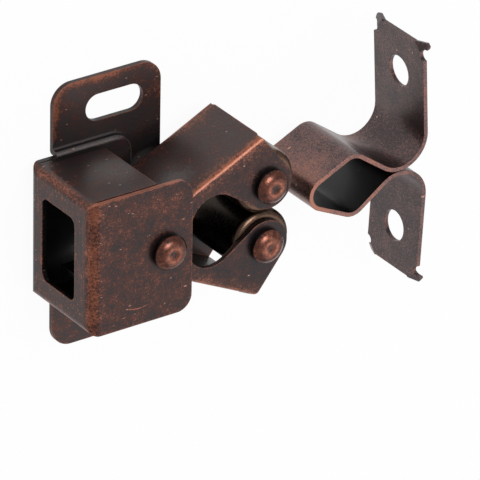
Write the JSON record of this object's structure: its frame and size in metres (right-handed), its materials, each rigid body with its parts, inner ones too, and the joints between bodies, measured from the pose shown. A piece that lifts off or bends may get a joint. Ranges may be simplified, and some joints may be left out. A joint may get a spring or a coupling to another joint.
{
  "type": "double roller catch",
  "caption": "Cabinet door catch: sprung roller jaws in a folded sheet-steel housing grip a spear-shaped strike that is screwed to the door.",
  "frame": {"origin": "on the mounting face, midway between the screw slots of the two ears", "axes": "+X out of the catch's mouth towards the strike, +Y across the plate from slot to slot, +Z away from the mounting face along the rivets"},
  "size_m": [0.0681, 0.048, 0.0218],
  "materials": {
    "housing": "antique copper plating, darkened",
    "pivot_rivet": "antique copper plating, rubbed bright on the head",
    "spring": "plain spring wire",
    "upper_jaw": "antique copper plating, darkened",
    "lower_jaw": "antique copper plating, darkened",
    "upper_roller_rivet": "antique copper plating, rubbed bright on the head",
    "lower_roller_rivet": "antique copper plating, rubbed bright on the head",
    "upper_roller": "dark plated steel",
    "lower_roller": "dark plated steel",
    "strike": "antique copper plating, matte"
  },
  "bodies": {
    "catch": {"housing": "housing", "pivot_rivet": "pivot_rivet", "spring": "spring"},
    "upper_jaw": {"upper_jaw": "upper_jaw", "upper_roller_rivet": "upper_roller_rivet"},
    "lower_jaw": {"lower_jaw": "lower_jaw", "lower_roller_rivet": "lower_roller_rivet"},
    "upper_roller": {"upper_roller": "upper_roller"},
    "lower_roller": {"lower_roller": "lower_roller"},
    "strike": {"strike": "strike"}
  },
  "joints": [
    {"name": "upper_jaw_hinge", "type": "hinge", "parent": "catch", "child": "upper_jaw", "pos_m": [-0.0019, 0, 0.011], "axis": [0, 0, 1], "range_deg": [0, 20], "stiffness_Nm_per_rad": 0.22, "springref_deg": -27.5, "deforming": ["spring"]},
    {"name": "lower_jaw_hinge", "type": "hinge", "parent": "catch", "child": "lower_jaw", "pos_m": [-0.0019, 0, 0.01005], "axis": [0, 0, -1], "range_deg": [0, 20], "stiffness_Nm_per_rad": 0.22, "springref_deg": -27.5, "deforming": ["spring"]},
    {"name": "upper_roller_spin", "type": "hinge", "parent": "upper_jaw", "child": "upper_roller", "pos_m": [0.01868, 0.0057, 0.011], "axis": [0, 0, 1], "continuous": true},
    {"name": "lower_roller_spin", "type": "hinge", "parent": "lower_jaw", "child": "lower_roller", "pos_m": [0.01868, -0.0057, 0.01005], "axis": [0, 0, 1], "continuous": true},
    {"name": "strike_slide", "type": "slide", "parent": "catch", "child": "strike", "axis": [1, 0, 0], "range_m": [-0.0052, 0]}
  ]
}
